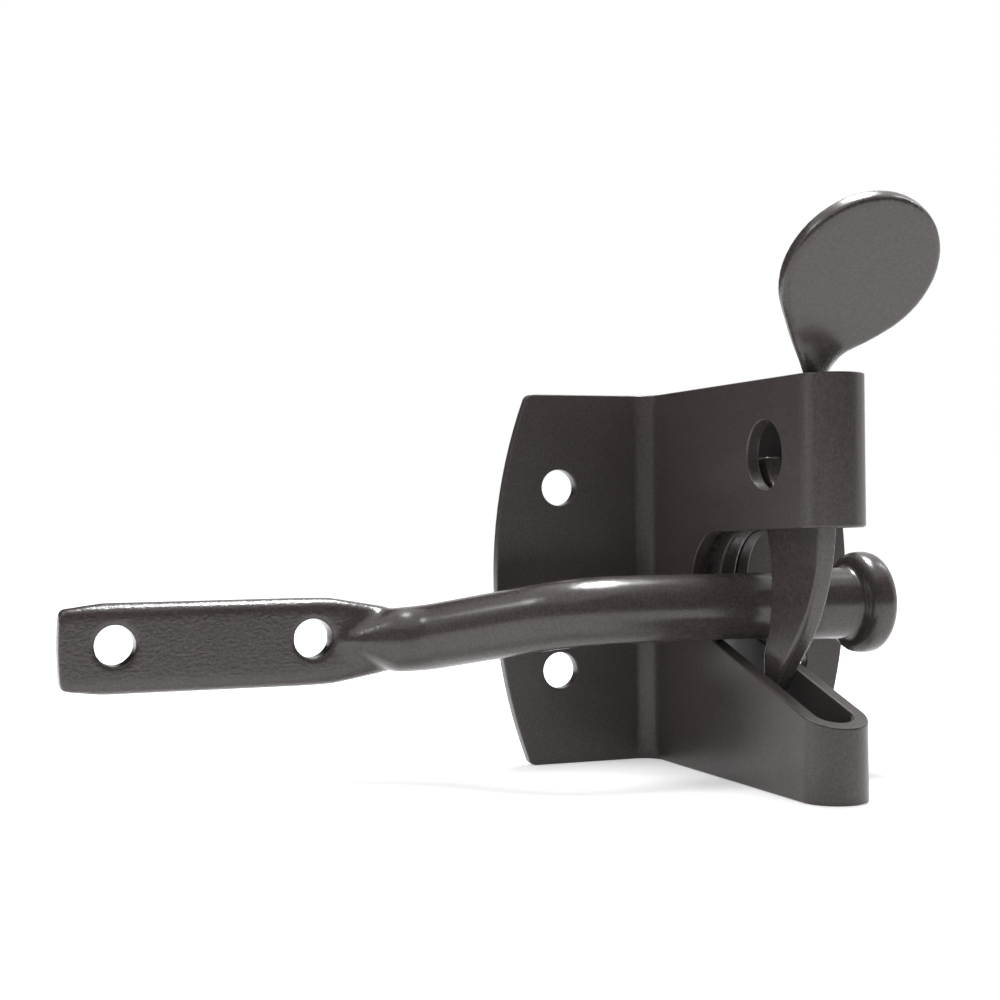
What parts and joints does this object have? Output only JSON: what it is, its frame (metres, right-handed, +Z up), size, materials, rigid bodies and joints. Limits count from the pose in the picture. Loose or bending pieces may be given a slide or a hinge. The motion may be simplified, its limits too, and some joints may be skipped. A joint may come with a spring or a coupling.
{
  "type": "spring loaded gate latch",
  "caption": "Folded steel gate latch case with a hooked spring pawl, thumb tab and padlock hole, catching the headed striker bar that the gate carries.",
  "frame": {"origin": "centre of the four screw holes, on the back face of the wings", "axes": "+X along the striker bar towards its head, +Y out of the back face into the post, +Z up"},
  "size_m": [0.1483, 0.0722, 0.0927],
  "materials": {
    "case_paint": "semi-gloss black powder coat",
    "pawl_paint": "semi-gloss black powder coat",
    "rivet_paint": "semi-gloss black powder coat",
    "spring_wire": "bright spring wire",
    "bar_paint": "semi-gloss black powder coat"
  },
  "bodies": {
    "case": {"latch_case": "case_paint", "pivot_rivet": "rivet_paint", "closing_spring": "spring_wire"},
    "pawl": {"latch_pawl": "pawl_paint"},
    "striker": {"striker_bar": "bar_paint"}
  },
  "joints": [
    {"name": "pawl_lift", "type": "hinge", "parent": "case", "child": "pawl", "pos_m": [0, -0.0095, -0.0045], "axis": [-1, 0, 0], "range_deg": [0, 34], "stiffness_Nm_per_rad": 0.15, "springref_deg": -57.3, "deforming": ["closing_spring"]},
    {"name": "bar_slide", "type": "slide", "parent": "case", "child": "striker", "axis": [1, 0, 0], "range_m": [-0.013, 0.006]}
  ]
}
